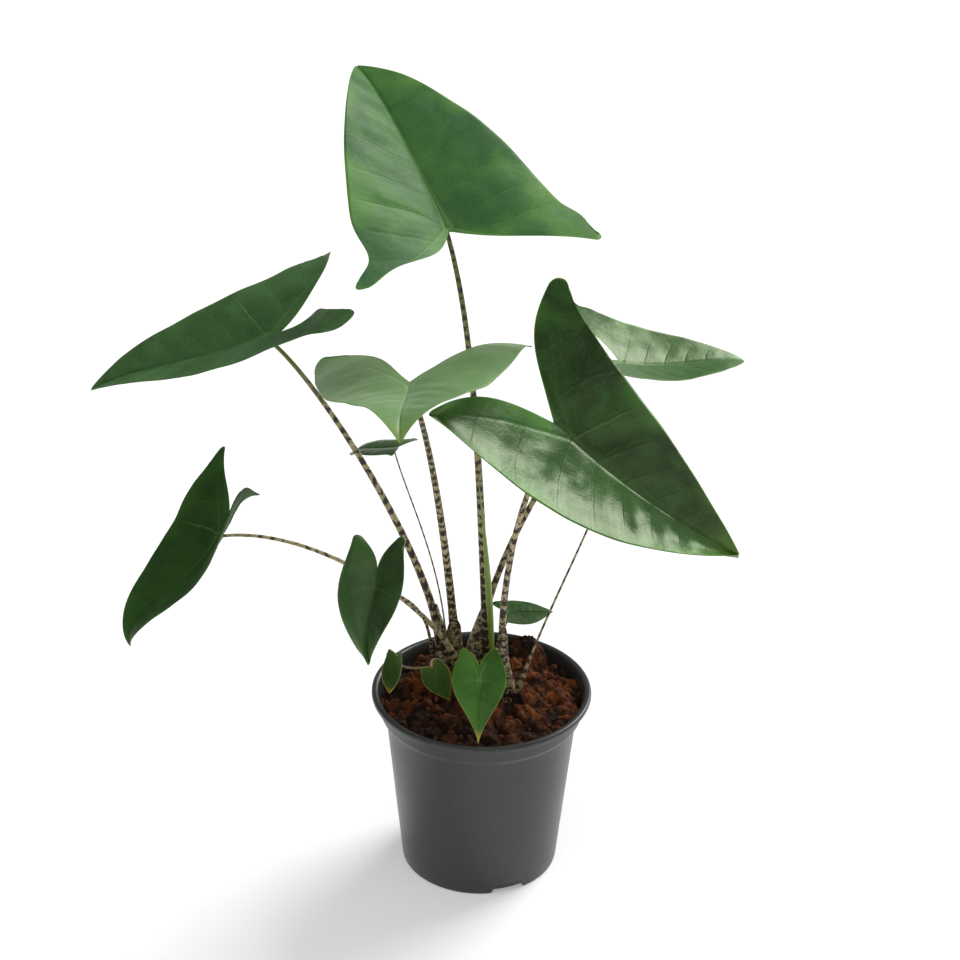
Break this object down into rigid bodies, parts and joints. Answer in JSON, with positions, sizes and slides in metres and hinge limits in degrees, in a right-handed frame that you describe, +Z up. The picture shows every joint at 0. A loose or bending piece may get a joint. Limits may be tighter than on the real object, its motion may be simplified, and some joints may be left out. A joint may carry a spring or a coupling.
{
  "type": "potted alocasia",
  "caption": "Potted alocasia with arrow-shaped glossy leaves on banded stems, growing from soil in a round dark plastic nursery pot.",
  "frame": {"origin": "centre of the pot's underside, on the surface that it stands on", "axes": "+Z up along the pot's axis, -Y towards the front of the plant, +X to its right"},
  "size_m": [0.4894, 0.3346, 0.5998],
  "materials": {
    "pot": "satin moulded plastic",
    "soil": "coarse damp bark and peat",
    "crown": "fibrous corm",
    "stem": "cream stem with dark brown bands",
    "leaf_mid": "waxy mid-green leaf",
    "leaf_deep": "waxy deep green leaf",
    "leaf_dark": "waxy dark green leaf",
    "new_leaf": "smooth yellow-green rolled leaf"
  },
  "bodies": {
    "root": {"pot": "pot", "soil": "soil", "crown_left": "crown", "crown_middle": "crown", "crown_front": "crown", "petiole_top": "stem", "blade_top": "leaf_mid", "petiole_left": "stem", "blade_left": "leaf_deep", "petiole_centre": "stem", "blade_centre": "leaf_mid", "petiole_right": "stem", "blade_right": "leaf_deep", "petiole_back": "stem", "blade_back": "leaf_mid", "petiole_low": "stem", "blade_low": "leaf_dark", "petiole_young": "stem", "blade_young": "leaf_dark", "petiole_edge": "stem", "blade_edge": "leaf_dark", "petiole_shade": "stem", "blade_shade": "leaf_dark", "petiole_hidden": "stem", "blade_hidden": "leaf_dark", "petiole_heart": "stem", "blade_heart": "leaf_mid", "petiole_bud": "stem", "blade_bud": "leaf_dark", "petiole_rim": "stem", "blade_rim": "leaf_dark", "new_leaf": "new_leaf"}
  },
  "joints": []
}
